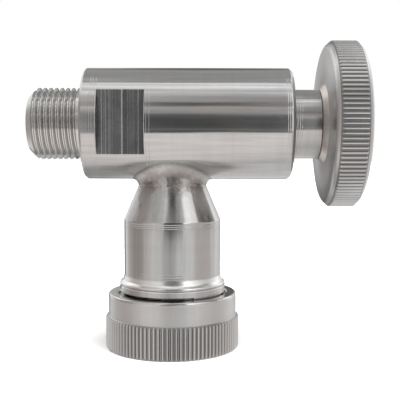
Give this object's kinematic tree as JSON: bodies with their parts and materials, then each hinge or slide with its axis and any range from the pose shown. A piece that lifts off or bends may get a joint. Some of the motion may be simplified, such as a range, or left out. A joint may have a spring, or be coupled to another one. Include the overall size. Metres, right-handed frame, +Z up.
{
  "type": "level gauge valve",
  "caption": "Stainless level gauge valve: straight barrel with a tank thread and knurled handwheel, and a downward outlet whose union nut grips a gauge tube.",
  "frame": {"origin": "centre of the union nut's lower face, on the outlet axis, where the valve stands", "axes": "+X from the tank thread towards the handwheel, along the barrel; +Z up, from the outlet towards the barrel"},
  "size_m": [0.077, 0.0388, 0.0723],
  "materials": {
    "steel_polished": "turned and polished stainless steel",
    "steel_satin": "satin machined stainless steel",
    "spring_steel": "plain spring steel",
    "brass": "machined brass",
    "bronze": "machined bearing bronze",
    "ptfe": "white PTFE",
    "rubber": "moulded rubber"
  },
  "bodies": {
    "valve": {"valve_body": "steel_polished", "outlet_neck": "steel_polished", "neck_weld_bead": "steel_polished", "tube_cushion": "rubber", "spindle_bush": "brass", "bush_o_ring": "rubber", "guide_sleeve": "bronze", "wiper_ring": "rubber", "ring_nut": "steel_satin"},
    "plug": {"plug": "steel_satin", "plug_seal": "ptfe", "plug_washer": "steel_satin", "plug_screw": "steel_satin", "plug_retaining_ring": "spring_steel"},
    "spindle": {"spindle": "steel_polished", "spindle_o_ring": "rubber", "spindle_backup_ring": "ptfe", "spindle_stop_ring": "spring_steel", "handwheel": "steel_satin", "drive_key": "spring_steel", "wheel_washer": "steel_satin", "wheel_screw": "steel_satin"},
    "tube_clamp": {"pressure_washer": "steel_satin", "tube_seal": "rubber"},
    "union_nut": {"union_nut": "steel_satin"}
  },
  "joints": [
    {"name": "plug_travel", "type": "slide", "parent": "valve", "child": "plug", "axis": [-1, 0, 0], "range_m": [0, 0.0055]},
    {"name": "spindle_turn", "type": "hinge", "parent": "plug", "child": "spindle", "pos_m": [0, 0, 0.05285], "axis": [-1, 0, 0], "range_deg": [0, 990]},
    {"name": "nut_travel", "type": "slide", "parent": "valve", "child": "tube_clamp", "axis": [0, 0, -1], "range_m": [0, 0.006]},
    {"name": "nut_turn", "type": "hinge", "parent": "tube_clamp", "child": "union_nut", "pos_m": [0, 0, 0], "axis": [0, 0, -1], "range_deg": [0, 1440]}
  ],
  "couplings": [
    {"joint": "spindle_turn", "follows": "plug_travel", "rad_per_m": 3141.6},
    {"joint": "nut_turn", "follows": "nut_travel", "rad_per_m": 4188.8}
  ]
}
